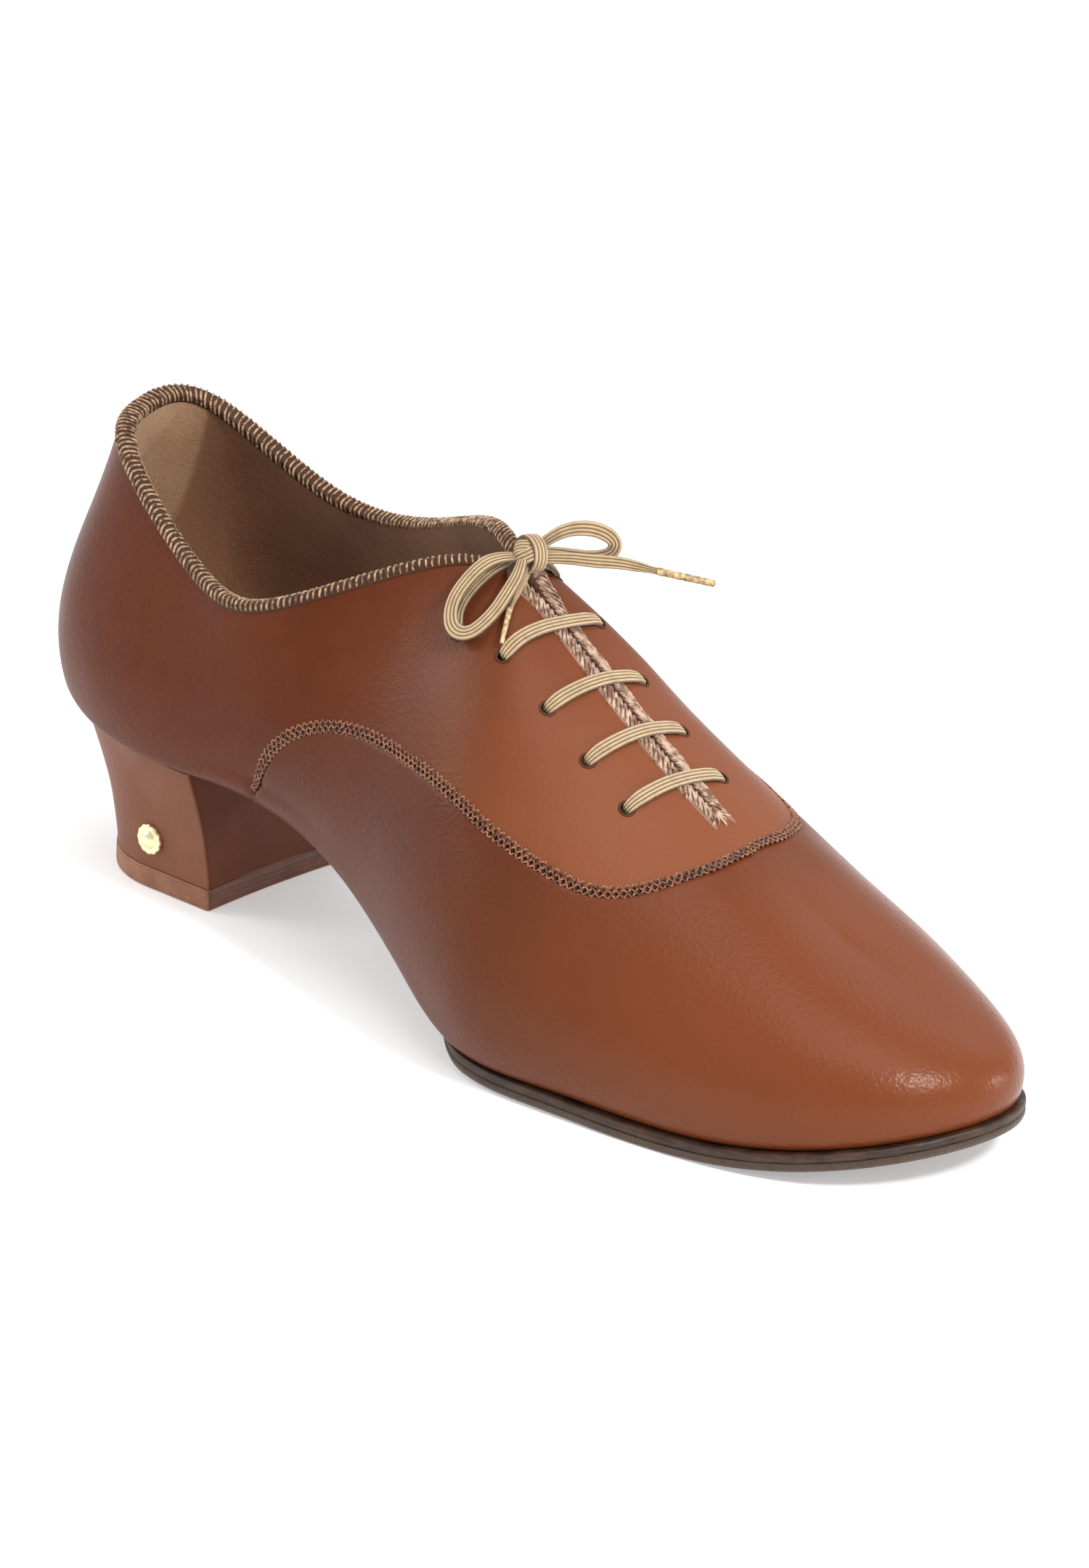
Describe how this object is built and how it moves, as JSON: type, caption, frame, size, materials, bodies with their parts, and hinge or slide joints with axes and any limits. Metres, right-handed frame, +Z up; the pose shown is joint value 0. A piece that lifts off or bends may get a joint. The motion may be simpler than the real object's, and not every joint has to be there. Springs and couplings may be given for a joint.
{
  "type": "dance shoe",
  "caption": "Right lace-up leather dance shoe with a closed slit facing, a smooth vamp, a thin two-layer sole and a covered block heel.",
  "frame": {"origin": "middle of the footprint's box on the floor", "axes": "+X towards the toe, +Y towards the inner side of the right foot, +Z up"},
  "size_m": [0.2831, 0.0939, 0.113],
  "materials": {
    "upper_leather": "smooth satin",
    "textile_lining": "woven",
    "lining_leather": "matte",
    "suede_lining": "napped",
    "stiffener": "matte",
    "binding": "stitched",
    "thread": "waxed",
    "sole_leather": "dyed edge",
    "suede_tread": "napped",
    "cork_filler": "granular",
    "insole_board": "fibre board",
    "foam": "soft",
    "shank_steel": "bare",
    "heel_core": "moulded",
    "heel_lift": "matte",
    "stud_metal": "polished",
    "nail_steel": "bare",
    "lace": "ribbed flat cord",
    "aglet": "waxed"
  },
  "bodies": {
    "shoe": {"quarters": "upper_leather", "vamp": "upper_leather", "vamp_lining": "textile_lining", "quarter_lining_outer": "lining_leather", "quarter_lining_inner": "lining_leather", "heel_grip": "suede_lining", "heel_counter": "stiffener", "toe_puff": "stiffener", "facing_stay_outer": "stiffener", "facing_stay_inner": "stiffener", "topline_binding": "binding", "bar_tack": "thread", "tongue_base": "upper_leather", "midsole": "sole_leather", "tread": "suede_tread", "forepart_filler": "cork_filler", "insole_board": "insole_board", "heel_pad": "foam", "sock_liner": "lining_leather", "shank": "shank_steel", "shank_rivets": "shank_steel", "heel_block": "heel_core", "heel_cover": "upper_leather", "heel_lift": "heel_lift", "heel_stud": "stud_metal", "lift_pins": "nail_steel", "heel_nails": "nail_steel", "heel_screw": "nail_steel", "lace": "lace", "lace_knot": "lace", "lace_loop_outer": "lace", "lace_loop_inner": "lace", "lace_end_outer": "lace", "lace_end_inner": "lace", "aglet_outer": "aglet", "aglet_inner": "aglet"},
    "tongue": {"tongue": "upper_leather", "tongue_lining": "suede_lining"}
  },
  "joints": [
    {"name": "tongue_hinge", "type": "hinge", "parent": "shoe", "child": "tongue", "pos_m": [0.0541, 0.003, 0.0541], "axis": [0, 1, 0], "range_deg": [-14, 0]}
  ]
}
